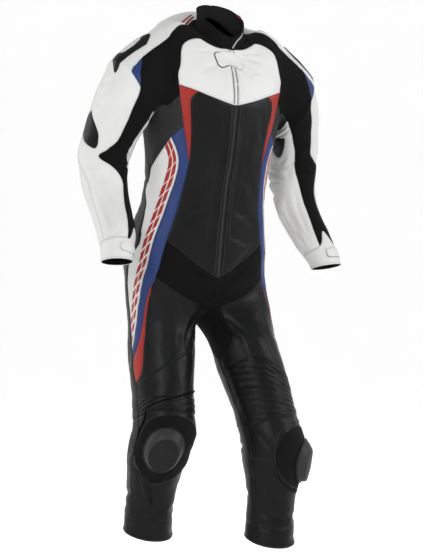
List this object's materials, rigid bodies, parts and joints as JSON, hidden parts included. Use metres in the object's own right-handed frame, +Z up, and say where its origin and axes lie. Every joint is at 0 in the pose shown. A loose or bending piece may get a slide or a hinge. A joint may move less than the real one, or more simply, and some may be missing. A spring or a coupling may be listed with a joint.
{
  "type": "motorcycle race suit",
  "caption": "One-piece leather race suit, filled out and hollow, with stand collar, stretch panels and knee sliders.",
  "frame": {"origin": "middle of the neck, where the wearer's neck and shoulders hold the suit up", "axes": "+Z up along the body, +X to the wearer's left, the zip faces -Y"},
  "size_m": [0.7129, 0.4275, 1.4278],
  "materials": {
    "white_leather": "smooth, slightly glossy",
    "charcoal_leather": "semi-gloss grain",
    "red_leather": "smooth",
    "blue_leather": "smooth",
    "black_stretch": "matt stretch weave",
    "zip_tape": "woven tape",
    "slider_plastic": "moulded, lightly scuffed",
    "loop_fabric": "hook-and-loop pile"
  },
  "bodies": {
    "root": {"back": "charcoal_leather", "back_yoke": "white_leather", "blue_side_L": "blue_leather", "blue_side_R": "blue_leather", "calf_L": "charcoal_leather", "calf_R": "charcoal_leather", "chest_flash_L": "red_leather", "chest_flash_R": "red_leather", "collar": "black_stretch", "cuff_L": "white_leather", "cuff_R": "white_leather", "cuff_tab_L": "white_leather", "cuff_tab_R": "white_leather", "diamond_L": "blue_leather", "diamond_R": "blue_leather", "elbow_patch_L": "charcoal_leather", "elbow_patch_R": "charcoal_leather", "front_body_L": "charcoal_leather", "front_body_R": "charcoal_leather", "front_yoke_L": "white_leather", "front_yoke_R": "white_leather", "groin": "black_stretch", "hem_band_L": "charcoal_leather", "hem_band_R": "charcoal_leather", "inner_thigh_L": "black_stretch", "inner_thigh_R": "black_stretch", "knee_panel_L": "charcoal_leather", "knee_panel_R": "charcoal_leather", "knee_slider_L": "slider_plastic", "knee_slider_R": "slider_plastic", "knee_stretch_L": "charcoal_leather", "knee_stretch_R": "charcoal_leather", "red_stripe_L": "red_leather", "red_stripe_R": "red_leather", "seat": "charcoal_leather", "shin_L": "charcoal_leather", "shin_R": "charcoal_leather", "shoulder_cup_L": "slider_plastic", "shoulder_cup_R": "slider_plastic", "side_stretch_L": "black_stretch", "side_stretch_R": "black_stretch", "sleeve_inner_L": "white_leather", "sleeve_inner_R": "white_leather", "sleeve_outer_L": "white_leather", "sleeve_outer_R": "white_leather", "slider_base_L": "loop_fabric", "slider_base_R": "loop_fabric", "stretch_band_L": "black_stretch", "stretch_band_R": "black_stretch", "thigh_back_L": "charcoal_leather", "thigh_back_R": "charcoal_leather", "thigh_front_L": "charcoal_leather", "thigh_front_R": "charcoal_leather", "throat_flap": "white_leather", "white_side_L": "white_leather", "white_side_R": "white_leather", "zip_strip": "zip_tape"}
  },
  "joints": []
}
